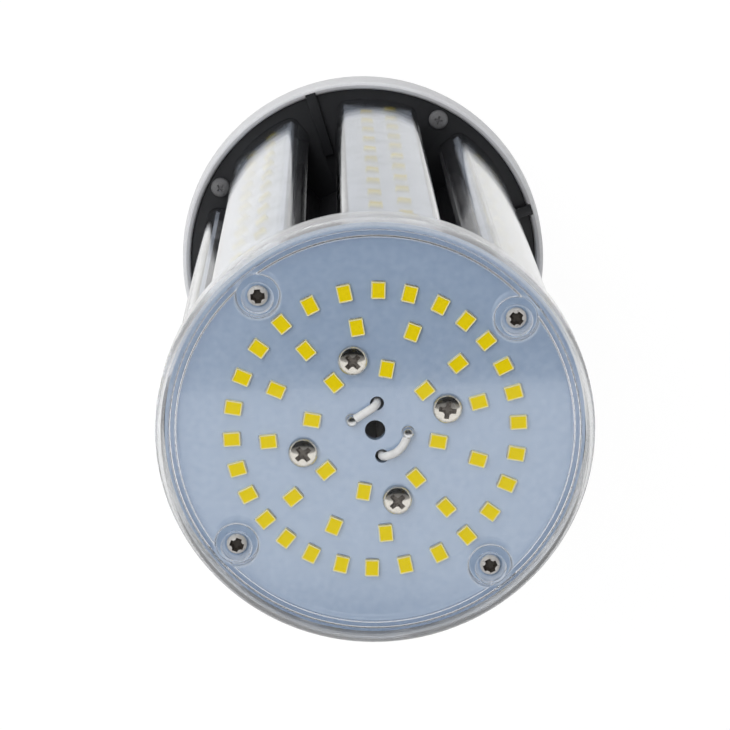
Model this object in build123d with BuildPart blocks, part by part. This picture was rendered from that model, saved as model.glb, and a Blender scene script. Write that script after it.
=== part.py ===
from build123d import *
import os
from math import cos, radians, sin

# An LED corn lamp on a mogul screw base, as the separate pieces that it comes apart into.
# Millimetres. +Z runs along the lamp from its screw base to its lit end. The origin is on the
# axis where the screw shell meets the housing's neck, and column 1 is centred on +X.

# Layout around the axis
column_count = 8
full_turn = 360
column_turn = full_turn / column_count
gap_turn = column_turn / 2
fastener_count = column_count // 2
fastener_range = fastener_count * 2 * column_turn

# Fits
slide_clearance = 0.1
screw_clearance = 0.2
thread_clearance = 0.05

# Screw base
shell_radius = 19.5
shell_wall = 0.6
thread_length = 27.0
shell_taper_length = 5.5
shell_draw_in = 4.9
insulator_plug_length = 2.5
insulator_length = 7.0
insulator_lip = 0.5
contact_radius = 8.0
contact_height = 2.5
contact_edge = 1.2
rivet_radius = 3.0

# Housing of the driver
rim_gap = 2.2
rim_wall = 1.9
rim_draft = 0.3
rim_lip = 1.5
housing_wall = 3.4
body_height = 6.0
shoulder_radius = 30.0
shoulder_sweep = 60.0
neck_curve_radius = 10.0
neck_lip = 2.0
neck_height = 3.0
holder_drop = 14.0
holder_wall = 3.0
holder_seat = 1.5
housing_boss_wall = 1.8
housing_boss_tail = 4.0

# Mounting plate in the housing's mouth
plate_thickness = 4.0
plate_bore_gap = 1.15
key_width = 2.4
key_length = 16.4

# Driver
driver_board_gap = 2.3
driver_board_thickness = 1.6
board_drop = 5.0
post_circle = 29.0
post_wall = 2.0
transformer_place = (-4.0, 0.0)
transformer_core_width = 22.0
transformer_core_depth = 13.0
transformer_height = 17.0
transformer_bobbin_width = 14.0
transformer_bobbin_depth = 20.0
transformer_bobbin_lift = 3.0
bulk_capacitor_place = (15.5, 6.0)
bulk_capacitor_radius = 6.3
bulk_capacitor_height = 17.0
output_capacitor_place = (-12.0, 17.5)
output_capacitor_radius = 5.0
output_capacitor_height = 15.0
filter_choke_place = (16.0, -9.0)
filter_choke_radius = 5.5
filter_choke_waist = 3.8
filter_choke_height = 11.0
filter_choke_flange = 2.0
film_capacitor_place = (4.0, 17.5)
film_capacitor_width = 13.0
film_capacitor_depth = 6.0
film_capacitor_height = 11.0
bridge_rectifier_place = (2.0, -17.0)
bridge_rectifier_width = 14.0
bridge_rectifier_depth = 3.6
bridge_rectifier_height = 11.0
power_transistor_place = (-21.0, -3.0)
power_transistor_width = 10.0
power_transistor_depth = 3.2
power_transistor_height = 9.0
transistor_tab_thickness = 1.3
transistor_tab_height = 15.0
varistor_place = (-13.0, -15.2)
varistor_radius = 5.0
varistor_thickness = 3.6
fuse_place = (0.0, -24.0)
fuse_radius = 1.9
fuse_length = 9.0
supply_radius = 0.9
supply_turn_z = 6.0
supply_rise = 11.0
live_landing = (-8.0, -22.5)
neutral_landing = (9.0, -22.0)
neutral_inset = 5.8

# Heat sink, an extrusion with a hub, webs and pads
heat_sink_length = 157.0
hub_wall = 8.0
web_thickness = 3.0
pad_margin = 1.6
pad_thickness = 4.6
pad_width = 17.0
groove_drop = 2.2
groove_height = 1.2
groove_depth = 1.15
port_spare = 3.0

# Strip boards, their two staggered rows of LEDs and the flat leads that feed them
strip_board_margin = 0.7
strip_board_thickness = 1.0
strip_pitch = 13.4
strip_end_margin = 2.5
strip_row_spacing = 5.5
strip_lead_width = 9.0
strip_lead_thickness = 1.2
strip_lead_rise = 2.5
led_length = 3.5
led_width = 2.8
led_height = 0.75

# Clear covers that slide into the pads' grooves
cover_wall = 1.1
cover_gap = 0.3
cover_sagitta = 1.7
cover_round = 2.6

# LED disc at the lit end. Its LEDs stand in three rings, and the places are in degrees.
disc_edge_gap = 0.45
disc_thickness = 1.6
inner_ring_radius = 11.9
inner_ring_quarter = (0, 40)
disc_screw_step = 2.1
middle_ring_gap = 1.35
middle_ring = (0, 30, 60, 90, 117, 146, 180, 207.5, 236, 272, 304, 336)
outer_ring_step = 6.7
outer_ring_half = (0, 11.5, 23.5, 36.5, 49, 62.5, 77, 90.5, 104, 117.5, 130.5, 143.5, 156, 167.5)
cap_boss_gap = 1.25
disc_centre_hole_radius = 1.9
wire_hole_gap = 0.6

# The two leads that come up through the disc, with their solder joints
lead_radius = 0.7
lead_lift = 0.3
lead_bend = 1.2
lead_ring_radius = 5.15
positive_turn = 46.4
negative_turn = -115.2
positive_joint_radius = 4.76
positive_joint_turn = 115.6
negative_joint_radius = 6.11
negative_joint_turn = -43.7
joint_radius = 1.1
joint_height = 1.6
joint_edge = 0.5

# Clear front cap
cap_gap = 0.15
cap_wall = 1.2
cap_face = 1.4
cap_clearance = 0.4
cap_skirt_drop = 2.5
cap_edge = 1.6
cap_rib_step = 0.7
cap_rib_width = 1.2
cap_rib_depth = 1.9
boss_wall = 1.3
boss_bore_gap = 0.8
boss_floor = 1.0

# Screws: shank radius, head radius and height, and length under the head
machine_shank = 1.4
machine_head = 2.8
machine_head_height = 1.9
machine_length = 9.0
small_shank = 1.0
small_head = 1.9
small_head_height = 1.5
small_length = 9.0
recess_width = 0.7
recess_length = 2.9
recess_depth = 0.9

# Radii that follow from the sizes, from the axis outwards
plate_bore_radius = lead_ring_radius + lead_radius + plate_bore_gap
wire_hole_radius = lead_radius + wire_hole_gap
disc_screw_circle = inner_ring_radius + disc_screw_step
hub_bore_radius = disc_screw_circle - hub_wall / 2
hub_radius = disc_screw_circle + hub_wall / 2
middle_ring_radius = disc_screw_circle + machine_head + middle_ring_gap + led_length / 2
outer_ring_radius = middle_ring_radius + outer_ring_step
boss_bore_radius = small_head + boss_bore_gap
boss_radius = boss_bore_radius + boss_wall
cap_screw_circle = outer_ring_radius + led_length / 2 + cap_boss_gap + boss_radius
pad_outer = cap_screw_circle + pad_margin
pad_inner = pad_outer - pad_thickness
strip_front = pad_outer + strip_board_thickness
strip_lead_radius = strip_front + strip_lead_thickness / 2
cover_corner = strip_front + cover_gap + cover_wall
cover_apex = cover_corner + cover_sagitta
cap_inner_radius = cover_apex + cap_gap
cap_radius = cap_inner_radius + cap_wall
cap_rib_inner = strip_front + cap_rib_step
disc_radius = cap_inner_radius - disc_edge_gap
rim_inner_radius = cover_apex + rim_gap
rim_radius = rim_inner_radius + rim_wall
plate_radius = rim_inner_radius - slide_clearance
housing_screw_circle = plate_radius - machine_head
housing_boss_radius = machine_shank + housing_boss_wall
housing_radius = rim_radius + rim_draft
housing_inner_radius = housing_radius - housing_wall
driver_board_radius = housing_inner_radius - driver_board_gap
post_radius = small_shank + post_wall
shell_inner_radius = shell_radius - shell_wall
shell_mouth_radius = shell_inner_radius - shell_draw_in
insulator_tip_radius = contact_radius + insulator_lip
holder_radius = shell_inner_radius - slide_clearance
holder_bore_radius = holder_radius - holder_wall
neck_bore_radius = holder_radius + slide_clearance
neck_radius = shell_radius + neck_lip

# Places along the axis that follow from the sizes
sweep_sin = sin(radians(shoulder_sweep))
sweep_cos = cos(radians(shoulder_sweep))
cone_width = housing_radius - neck_radius - (shoulder_radius + neck_curve_radius) * (1 - sweep_cos)
cone_length = cone_width / sweep_sin
shoulder_z = neck_height + (shoulder_radius + neck_curve_radius) * sweep_sin + cone_length * sweep_cos
rim_z = shoulder_z + body_height
plate_z = rim_z - rim_lip
ledge_z = plate_z - plate_thickness
lit_end_z = plate_z + heat_sink_length
disc_front_z = lit_end_z + disc_thickness
cap_inner_z = disc_front_z + machine_head_height + cap_clearance
cap_top_z = cap_inner_z + cap_face
board_z = ledge_z - board_drop
board_top_z = board_z + driver_board_thickness
machine_port_depth = machine_length + port_spare
small_port_depth = small_length + port_spare

os.makedirs("parts", exist_ok=True)


def column_plane(number):
    """The plane of one column, through the axis: x across the column, y along +Z, z outwards."""
    turn = radians(number * column_turn)
    return Plane(origin=(0, 0, plate_z), x_dir=(-sin(turn), cos(turn), 0), z_dir=(cos(turn), sin(turn), 0))


def fastener_ring(circle, start_turn):
    """Places on a circle round the axis, one to every second column."""
    return PolarLocations(circle, fastener_count, start_angle=start_turn, angular_range=fastener_range)


def finish(piece, name):
    """Label one finished piece and write it."""
    piece.part.label = name
    export_step(piece.part, f"parts/{name}.step")


# Screw shell of rolled brass, with its lower edge drawn in round the insulator
shell_end_z = -thread_length - shell_taper_length
with BuildPart() as screw_shell:
    with BuildSketch(Plane.XZ):
        with BuildLine():
            Polyline(
                (shell_inner_radius, 0),
                (shell_radius, 0),
                (shell_radius, -thread_length),
                (shell_mouth_radius + shell_wall, shell_end_z),
                (shell_mouth_radius, shell_end_z),
                (shell_inner_radius, -thread_length),
                close=True,
            )
        make_face()
    revolve(axis=Axis.Z)
finish(screw_shell, "screw_shell")

# Insulator: a plug inside the shell's mouth and a cone down to the contact
contact_seat_z = shell_end_z - insulator_length
with BuildPart() as base_insulator:
    with BuildSketch(Plane.XZ):
        with BuildLine():
            Polyline(
                (rivet_radius + slide_clearance, shell_end_z + insulator_plug_length),
                (shell_mouth_radius - slide_clearance, shell_end_z + insulator_plug_length),
                (shell_mouth_radius - slide_clearance, shell_end_z),
                (shell_mouth_radius + shell_wall, shell_end_z),
                (insulator_tip_radius, contact_seat_z),
                (rivet_radius + slide_clearance, contact_seat_z),
                close=True,
            )
        make_face()
    revolve(axis=Axis.Z)
finish(base_insulator, "base_insulator")

# Centre contact with the rivet that holds it in the insulator
rivet_top_z = shell_end_z + insulator_plug_length
with BuildPart() as center_contact:
    with BuildSketch(Plane.XY.offset(contact_seat_z)):
        Circle(contact_radius)
    extrude(amount=-contact_height)
    chamfer(center_contact.edges().sort_by(Axis.Z)[0], contact_edge)
    with BuildSketch(Plane.XY.offset(contact_seat_z)):
        Circle(rivet_radius)
    extrude(amount=rivet_top_z - contact_seat_z)
finish(center_contact, "center_contact")

# Room inside the housing, less the screw bosses and the posts that carry the driver board
inner_shoulder_radius = shoulder_radius - housing_wall
shoulder_middle = housing_radius - shoulder_radius
inner_bend_radius = shoulder_middle + inner_shoulder_radius * cos(radians(shoulder_sweep / 2))
inner_bend_z = shoulder_z - inner_shoulder_radius * sin(radians(shoulder_sweep / 2))
inner_cone_radius = shoulder_middle + inner_shoulder_radius * sweep_cos
inner_cone_top_z = shoulder_z - inner_shoulder_radius * sweep_sin
inner_cone_foot_z = inner_cone_top_z - (inner_cone_radius - holder_bore_radius) * sweep_cos / sweep_sin
holder_top_z = inner_cone_foot_z - holder_seat
with BuildPart() as housing_room:
    with BuildSketch(Plane.XZ):
        with BuildLine():
            Polyline(
                (0, rim_z),
                (rim_inner_radius, rim_z),
                (rim_inner_radius, ledge_z),
                (housing_inner_radius, ledge_z),
                (housing_inner_radius, shoulder_z),
                (inner_bend_radius, inner_bend_z),
                (inner_cone_radius, inner_cone_top_z),
                (holder_bore_radius, inner_cone_foot_z),
                (holder_bore_radius, holder_top_z),
                (neck_bore_radius, holder_top_z),
                (neck_bore_radius, 0),
                (0, 0),
                close=True,
            )
        make_face()
    revolve(axis=Axis.Z)
    with BuildSketch(Plane.XY.offset(ledge_z)):
        with fastener_ring(housing_screw_circle, gap_turn):
            Circle(housing_boss_radius)
    extrude(amount=-machine_port_depth - housing_boss_tail, mode=Mode.SUBTRACT)
    with BuildSketch(Plane.XY.offset(board_z)):
        with fastener_ring(post_circle, -gap_turn):
            Circle(post_radius)
    extrude(amount=-board_z, mode=Mode.SUBTRACT)

# Housing of the driver: a bowl with a notched rim, and a seat in its neck for the shell's holder
notch_length = 2 * (rim_wall + rim_draft)
with BuildPart() as driver_housing:
    with BuildSketch(Plane.XZ):
        with BuildLine():
            shoulder = JernArc((housing_radius, shoulder_z), (0, -1), shoulder_radius, -shoulder_sweep)
            cone = Line(shoulder @ 1, shoulder @ 1 + (shoulder % 1) * cone_length)
            neck_curve = JernArc(cone @ 1, cone % 1, neck_curve_radius, shoulder_sweep)
            Polyline(
                neck_curve @ 1,
                (neck_radius, 0),
                (0, 0),
                (0, rim_z),
                (rim_radius, rim_z),
                (housing_radius, shoulder_z),
            )
        make_face()
    revolve(axis=Axis.Z)
    add(housing_room.part, mode=Mode.SUBTRACT)
    with BuildSketch(Plane.XY.offset(rim_z)):
        with fastener_ring(rim_radius, -gap_turn):
            Rectangle(notch_length, key_width + 2 * slide_clearance)
    extrude(amount=-rim_lip, mode=Mode.SUBTRACT)
    with BuildSketch(Plane.XY.offset(ledge_z)):
        with fastener_ring(housing_screw_circle, gap_turn):
            Circle(machine_shank + thread_clearance)
    extrude(amount=-machine_port_depth, mode=Mode.SUBTRACT)
    with BuildSketch(Plane.XY.offset(board_z)):
        with fastener_ring(post_circle, -gap_turn):
            Circle(small_shank + thread_clearance)
    extrude(amount=-small_port_depth, mode=Mode.SUBTRACT)
finish(driver_housing, "driver_housing")

# Holder of the screw shell: a tube that stands in the neck up to its seat
with BuildPart() as shell_holder:
    with BuildSketch(Plane.XY.offset(-holder_drop)):
        Circle(holder_radius)
        Circle(holder_bore_radius, mode=Mode.SUBTRACT)
    extrude(amount=holder_drop + holder_top_z)
finish(shell_holder, "shell_holder")

# Mounting plate: a disc with four raised keys that stand in the rim's notches
with BuildPart() as mounting_plate:
    with BuildSketch(Plane.XY.offset(ledge_z)):
        Circle(plate_radius)
        Circle(plate_bore_radius, mode=Mode.SUBTRACT)
        with fastener_ring(housing_screw_circle, gap_turn):
            Circle(machine_shank + screw_clearance, mode=Mode.SUBTRACT)
        with fastener_ring(cap_screw_circle, column_turn):
            Circle(small_shank + screw_clearance, mode=Mode.SUBTRACT)
        with PolarLocations(strip_lead_radius, column_count):
            Rectangle(
                strip_lead_thickness + 2 * screw_clearance,
                strip_lead_width + 2 * screw_clearance,
                mode=Mode.SUBTRACT,
            )
    extrude(amount=plate_thickness)
    with BuildSketch(Plane.XY.offset(plate_z)):
        with fastener_ring(rim_radius - key_length / 2, -gap_turn):
            Rectangle(key_length, key_width)
    extrude(amount=rim_lip)
finish(mounting_plate, "mounting_plate")


def screw_ring(circle, start_turn, seat_z, side, shank, head, head_height, length):
    """A ring of cross-head screws. Their heads stand on seat_z, towards +Z where side is 1."""
    seat = Plane.XY.offset(seat_z)
    head_top = Plane.XY.offset(seat_z + side * head_height)
    with BuildPart() as screws:
        with BuildSketch(seat):
            with fastener_ring(circle, start_turn):
                Circle(head)
        extrude(amount=side * head_height)
        with BuildSketch(head_top):
            with fastener_ring(circle, start_turn):
                Rectangle(recess_length, recess_width)
                Rectangle(recess_width, recess_length)
        extrude(amount=-side * recess_depth, mode=Mode.SUBTRACT)
        with BuildSketch(seat):
            with fastener_ring(circle, start_turn):
                Circle(shank)
        extrude(amount=-side * length)
    return screws


# Screws of the mounting plate: four into the housing, four up into the heat sink
housing_screws = screw_ring(
    housing_screw_circle,
    gap_turn,
    plate_z,
    1,
    machine_shank,
    machine_head,
    machine_head_height,
    machine_length,
)
finish(housing_screws, "housing_screws")
heat_sink_screws = screw_ring(
    cap_screw_circle, column_turn, ledge_z, -1, small_shank, small_head, small_head_height, small_length
)
finish(heat_sink_screws, "heat_sink_screws")

# Heat sink: a bored hub, webs and the pads that carry the strips, with grooves for the covers
groove_outer = pad_outer - groove_drop
groove_middle = groove_outer - groove_height / 2
web_length = pad_inner - hub_bore_radius
with BuildPart() as heat_sink:
    with BuildSketch(Plane.XY.offset(plate_z)):
        Circle(hub_radius)
        with PolarLocations(hub_bore_radius + web_length / 2, column_count):
            Rectangle(web_length, web_thickness)
        with PolarLocations(pad_outer - pad_thickness / 2, column_count):
            Rectangle(pad_thickness, pad_width)
        with PolarLocations(groove_middle, column_count):
            with Locations((0, (pad_width - groove_depth) / 2), (0, (groove_depth - pad_width) / 2)):
                Rectangle(groove_height, groove_depth, mode=Mode.SUBTRACT)
        Circle(hub_bore_radius, mode=Mode.SUBTRACT)
    extrude(amount=heat_sink_length)
    with BuildSketch(Plane.XY.offset(lit_end_z)):
        with fastener_ring(disc_screw_circle, -gap_turn):
            Circle(machine_shank + thread_clearance)
    extrude(amount=-machine_port_depth, mode=Mode.SUBTRACT)
    with BuildSketch(Plane.XY.offset(lit_end_z)):
        with fastener_ring(cap_screw_circle, 0):
            Circle(small_shank + thread_clearance)
    extrude(amount=-small_port_depth, mode=Mode.SUBTRACT)
    with BuildSketch(Plane.XY.offset(plate_z)):
        with fastener_ring(cap_screw_circle, column_turn):
            Circle(small_shank + thread_clearance)
    extrude(amount=small_port_depth, mode=Mode.SUBTRACT)
finish(heat_sink, "heat_sink")

# Section of a cover: a crowned face, two sides and the hooks that run in the grooves
cover_side = pad_width / 2 + slide_clearance + cover_wall
cover_inside = cover_side - cover_wall
hook_back = groove_outer - groove_height + 2 * slide_clearance
hook_tip = pad_width / 2 - groove_depth + slide_clearance
with BuildSketch() as cover_section:
    with BuildLine():
        ThreePointArc((cover_corner, -cover_side), (cover_apex, 0), (cover_corner, cover_side))
        Polyline(
            (cover_corner, cover_side),
            (hook_back, cover_side),
            (hook_back, hook_tip),
            (groove_outer, hook_tip),
            (groove_outer, cover_inside),
            (cover_corner - cover_wall, cover_inside),
        )
        ThreePointArc(
            (cover_corner - cover_wall, cover_inside),
            (cover_apex - cover_wall, 0),
            (cover_corner - cover_wall, -cover_inside),
        )
        Polyline(
            (cover_corner - cover_wall, -cover_inside),
            (groove_outer, -cover_inside),
            (groove_outer, -hook_tip),
            (hook_back, -hook_tip),
            (hook_back, -cover_side),
            (cover_corner, -cover_side),
        )
    make_face()
    fillet(cover_section.vertices().group_by(Axis.X)[-1], cover_round)
    inner_corners = cover_section.vertices().filter_by(
        lambda corner: abs(corner.X - cover_corner + cover_wall) < slide_clearance
    )
    fillet(inner_corners, cover_round - cover_wall)

# The columns: a strip board on each pad, its LEDs and its cover
strip_middle = heat_sink_length / 2
strip_board_width = pad_width - 2 * strip_board_margin
strip_row_count = int((heat_sink_length - 2 * strip_end_margin - led_length) / strip_pitch) + 1
for number in range(column_count):
    column = column_plane(number)
    with BuildPart() as strip_board:
        with BuildSketch(column.offset(pad_outer)):
            with Locations((0, strip_middle)):
                Rectangle(strip_board_width, heat_sink_length)
        extrude(amount=strip_board_thickness)
    finish(strip_board, f"strip_board_{number + 1}")
    with BuildPart() as strip_leds:
        with BuildSketch(column.offset(strip_front)):
            with Locations((-strip_row_spacing / 2, strip_middle)):
                with GridLocations(0, strip_pitch, 1, strip_row_count):
                    Rectangle(led_width, led_length)
            with Locations((strip_row_spacing / 2, strip_middle)):
                with GridLocations(0, strip_pitch, 1, strip_row_count - 1):
                    Rectangle(led_width, led_length)
        extrude(amount=led_height)
    finish(strip_leds, f"strip_leds_{number + 1}")
    with BuildPart() as strip_cover:
        with BuildSketch(Plane.XY.offset(plate_z)):
            add(cover_section.sketch, rotation=number * column_turn)
        extrude(amount=heat_sink_length)
    finish(strip_cover, f"strip_cover_{number + 1}")

# LED disc, which reaches out to the cap's skirt
with BuildPart() as led_disc:
    with BuildSketch(Plane.XY.offset(lit_end_z)):
        Circle(disc_radius)
        Circle(disc_centre_hole_radius, mode=Mode.SUBTRACT)
        for turn in (positive_turn, negative_turn):
            with PolarLocations(lead_ring_radius, 1, start_angle=turn):
                Circle(wire_hole_radius, mode=Mode.SUBTRACT)
        with fastener_ring(disc_screw_circle, -gap_turn):
            Circle(machine_shank + screw_clearance, mode=Mode.SUBTRACT)
        with fastener_ring(cap_screw_circle, 0):
            Circle(small_shank + screw_clearance, mode=Mode.SUBTRACT)
    extrude(amount=disc_thickness)
finish(led_disc, "led_disc")

# LEDs of the disc, long side along the radius
outer_ring = [half * full_turn / 2 + turn for half in range(2) for turn in outer_ring_half]
inner_ring = [quarter * full_turn / 4 + turn for quarter in range(4) for turn in inner_ring_quarter]
led_rings = (
    (outer_ring_radius, outer_ring),
    (middle_ring_radius, middle_ring),
    (inner_ring_radius, inner_ring),
)
with BuildPart() as disc_leds:
    with BuildSketch(Plane.XY.offset(disc_front_z)):
        for ring_radius, turns in led_rings:
            for turn in turns:
                with PolarLocations(ring_radius, 1, start_angle=turn):
                    Rectangle(led_length, led_width)
    extrude(amount=led_height)
finish(disc_leds, "disc_leds")

disc_screws = screw_ring(
    disc_screw_circle,
    -gap_turn,
    disc_front_z,
    1,
    machine_shank,
    machine_head,
    machine_head_height,
    machine_length,
)
finish(disc_screws, "disc_screws")


def polar(radius, turn, height):
    """A point at a radius and a turn round the axis."""
    return (radius * cos(radians(turn)), radius * sin(radians(turn)), height)


# Leads from the driver board up the hub's bore, over the disc and into their solder joints
lead_z = disc_front_z + lead_lift + lead_radius
positive_joint = polar(positive_joint_radius, positive_joint_turn, lead_z)
negative_joint = polar(negative_joint_radius, negative_joint_turn, lead_z)
leads = []
for name, turn, joint in (
    ("positive_lead", positive_turn, positive_joint),
    ("negative_lead", negative_turn, negative_joint),
):
    foot = polar(lead_ring_radius, turn, board_top_z)
    with BuildPart() as lead:
        with BuildLine():
            FilletPolyline(foot, polar(lead_ring_radius, turn, lead_z), joint, radius=lead_bend)
        with BuildSketch(Plane(origin=foot)):
            Circle(lead_radius)
        sweep()
    finish(lead, name)
    leads.append(lead)

with BuildPart() as solder_joints:
    with BuildSketch(Plane.XY.offset(disc_front_z)):
        with Locations(positive_joint[:2], negative_joint[:2]):
            Circle(joint_radius)
    extrude(amount=joint_height)
    chamfer(solder_joints.edges().filter_by(GeomType.CIRCLE).group_by(Axis.Z)[-1], joint_edge)
    for lead in leads:
        add(lead.part, mode=Mode.SUBTRACT)
finish(solder_joints, "solder_joints")

# Clear front cap: a face with a bevelled edge, a skirt, a rib and four counterbored bosses on the disc
cap_skirt_z = lit_end_z - cap_skirt_drop
boss_floor_z = disc_front_z + boss_floor
with BuildPart() as front_cap:
    with BuildSketch(Plane.XY.offset(cap_skirt_z)):
        Circle(cap_radius)
    extrude(amount=cap_top_z - cap_skirt_z)
    chamfer(front_cap.edges().sort_by(Axis.Z)[-1], cap_edge)
    with BuildSketch(Plane.XY.offset(cap_skirt_z)):
        Circle(cap_inner_radius)
    extrude(amount=cap_inner_z - cap_skirt_z, mode=Mode.SUBTRACT)
    with BuildSketch(Plane.XY.offset(cap_inner_z)):
        Circle(cap_rib_inner + cap_rib_width)
        Circle(cap_rib_inner, mode=Mode.SUBTRACT)
    extrude(amount=-cap_rib_depth)
    with BuildSketch(Plane.XY.offset(disc_front_z)):
        with fastener_ring(cap_screw_circle, 0):
            Circle(boss_radius)
    extrude(amount=cap_inner_z - disc_front_z)
    with BuildSketch(Plane.XY.offset(boss_floor_z)):
        with fastener_ring(cap_screw_circle, 0):
            Circle(boss_bore_radius)
    extrude(amount=cap_top_z - boss_floor_z, mode=Mode.SUBTRACT)
    with BuildSketch(Plane.XY.offset(disc_front_z)):
        with fastener_ring(cap_screw_circle, 0):
            Circle(small_shank + screw_clearance)
    extrude(amount=boss_floor, mode=Mode.SUBTRACT)
finish(front_cap, "front_cap")

cap_screws = screw_ring(
    cap_screw_circle, 0, boss_floor_z, 1, small_shank, small_head, small_head_height, small_length
)
finish(cap_screws, "cap_screws")

# Driver board on the housing's posts, with its screws
with BuildPart() as driver_board:
    with BuildSketch(Plane.XY.offset(board_z)):
        Circle(driver_board_radius)
        with fastener_ring(housing_screw_circle, gap_turn):
            Circle(housing_boss_radius + screw_clearance, mode=Mode.SUBTRACT)
        with fastener_ring(post_circle, -gap_turn):
            Circle(small_shank + screw_clearance, mode=Mode.SUBTRACT)
    extrude(amount=driver_board_thickness)
finish(driver_board, "driver_board")
board_screws = screw_ring(
    post_circle, -gap_turn, board_top_z, 1, small_shank, small_head, small_head_height, small_length
)
finish(board_screws, "board_screws")

# Flat twin leads from the driver board up to the foot of each strip board
with BuildPart() as strip_leads:
    with BuildSketch(Plane.XY.offset(board_top_z)):
        with PolarLocations(strip_lead_radius, column_count):
            Rectangle(strip_lead_thickness, strip_lead_width)
    extrude(amount=plate_z + strip_lead_rise - board_top_z)
finish(strip_leads, "strip_leads")

# Parts of the driver, which hang from the board into the bowl
board_underside = Plane.XY.offset(board_z)
with BuildPart() as transformer:
    with BuildSketch(board_underside):
        with Locations(transformer_place):
            Rectangle(transformer_core_width, transformer_core_depth)
    extrude(amount=-transformer_height)
    with BuildSketch(Plane.XY.offset(board_z - transformer_bobbin_lift)):
        with Locations(transformer_place):
            Rectangle(transformer_bobbin_width, transformer_bobbin_depth)
    extrude(amount=2 * transformer_bobbin_lift - transformer_height)
finish(transformer, "transformer")

with BuildPart() as bulk_capacitor:
    with BuildSketch(board_underside):
        with Locations(bulk_capacitor_place):
            Circle(bulk_capacitor_radius)
    extrude(amount=-bulk_capacitor_height)
finish(bulk_capacitor, "bulk_capacitor")

with BuildPart() as output_capacitor:
    with BuildSketch(board_underside):
        with Locations(output_capacitor_place):
            Circle(output_capacitor_radius)
    extrude(amount=-output_capacitor_height)
finish(output_capacitor, "output_capacitor")

with BuildPart() as filter_choke:
    with BuildSketch(board_underside):
        with Locations(filter_choke_place):
            Circle(filter_choke_radius)
    extrude(amount=-filter_choke_height)
    with BuildSketch(Plane.XY.offset(board_z - filter_choke_flange)):
        with Locations(filter_choke_place):
            Circle(filter_choke_radius)
            Circle(filter_choke_waist, mode=Mode.SUBTRACT)
    extrude(amount=2 * filter_choke_flange - filter_choke_height, mode=Mode.SUBTRACT)
finish(filter_choke, "filter_choke")

with BuildPart() as film_capacitor:
    with BuildSketch(board_underside):
        with Locations(film_capacitor_place):
            Rectangle(film_capacitor_width, film_capacitor_depth)
    extrude(amount=-film_capacitor_height)
finish(film_capacitor, "film_capacitor")

with BuildPart() as bridge_rectifier:
    with BuildSketch(board_underside):
        with Locations(bridge_rectifier_place):
            Rectangle(bridge_rectifier_width, bridge_rectifier_depth)
    extrude(amount=-bridge_rectifier_height)
finish(bridge_rectifier, "bridge_rectifier")

with BuildPart() as power_transistor:
    with BuildSketch(board_underside):
        with Locations(power_transistor_place):
            Rectangle(power_transistor_depth, power_transistor_width)
    extrude(amount=-power_transistor_height)
    with BuildSketch(board_underside):
        with Locations(power_transistor_place):
            with Locations((-(power_transistor_depth + transistor_tab_thickness) / 2, 0)):
                Rectangle(transistor_tab_thickness, power_transistor_width)
    extrude(amount=-transistor_tab_height)
finish(power_transistor, "power_transistor")

with BuildPart() as varistor:
    with BuildSketch(Plane.XZ.offset(-varistor_place[1])):
        with Locations((varistor_place[0], board_z - varistor_radius)):
            Circle(varistor_radius)
    extrude(amount=varistor_thickness)
finish(varistor, "varistor")

with BuildPart() as fuse:
    with BuildSketch(Plane.YZ.offset(fuse_place[0] - fuse_length / 2)):
        with Locations((fuse_place[1], board_z - fuse_radius)):
            Circle(fuse_radius)
    extrude(amount=fuse_length)
finish(fuse, "fuse")

# Supply leads: from the contact's rivet and from the shell's wall up to the driver board
shell_tap_z = -holder_drop - 2 * supply_radius
live_path = (
    (0, 0, rivet_top_z),
    (0, 0, supply_turn_z),
    (*live_landing, board_z - supply_rise),
    (*live_landing, board_z),
)
neutral_offset = holder_bore_radius - neutral_inset
neutral_path = (
    (shell_inner_radius - slide_clearance, 0, shell_tap_z),
    (neutral_offset, 0, shell_tap_z),
    (neutral_offset, 0, supply_turn_z),
    (*neutral_landing, board_z - supply_rise),
    (*neutral_landing, board_z),
)
for name, route in (("live_lead", live_path), ("neutral_lead", neutral_path)):
    with BuildPart() as supply_lead:
        with BuildLine() as supply_line:
            Polyline(*route)
        with BuildSketch(Plane(origin=route[0], z_dir=supply_line.line % 0)):
            Circle(supply_radius)
        sweep(transition=Transition.RIGHT)
    finish(supply_lead, name)
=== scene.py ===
from math import asin, cos, pi, radians, sin, sqrt

import bmesh
import bpy
from mathutils import Matrix, Vector


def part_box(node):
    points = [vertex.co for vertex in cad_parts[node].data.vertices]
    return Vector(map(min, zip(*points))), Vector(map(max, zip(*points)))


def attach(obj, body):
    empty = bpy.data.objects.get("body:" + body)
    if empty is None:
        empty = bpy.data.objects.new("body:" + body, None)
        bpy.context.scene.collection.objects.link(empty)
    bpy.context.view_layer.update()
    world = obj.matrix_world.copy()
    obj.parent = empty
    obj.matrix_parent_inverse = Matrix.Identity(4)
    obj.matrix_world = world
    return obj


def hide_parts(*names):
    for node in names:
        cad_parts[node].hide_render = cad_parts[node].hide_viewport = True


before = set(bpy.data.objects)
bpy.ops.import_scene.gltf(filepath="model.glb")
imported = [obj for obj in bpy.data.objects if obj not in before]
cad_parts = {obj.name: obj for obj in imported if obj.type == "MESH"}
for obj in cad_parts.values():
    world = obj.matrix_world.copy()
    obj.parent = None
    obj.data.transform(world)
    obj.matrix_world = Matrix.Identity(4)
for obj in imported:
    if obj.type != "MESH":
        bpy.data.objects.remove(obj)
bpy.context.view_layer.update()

# An LED corn lamp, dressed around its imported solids. Sizes are millimetres, and the frame is metres.
mm = 0.001
full_turn = 2 * pi
column_count = 8
column_turn = full_turn / column_count
fastener_count = column_count // 2
fastener_turn = full_turn / fastener_count


def height_of(node, side):
    """The lowest (0) or highest (1) point of a solid along the lamp's axis."""
    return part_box(node)[side].z / mm


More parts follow.
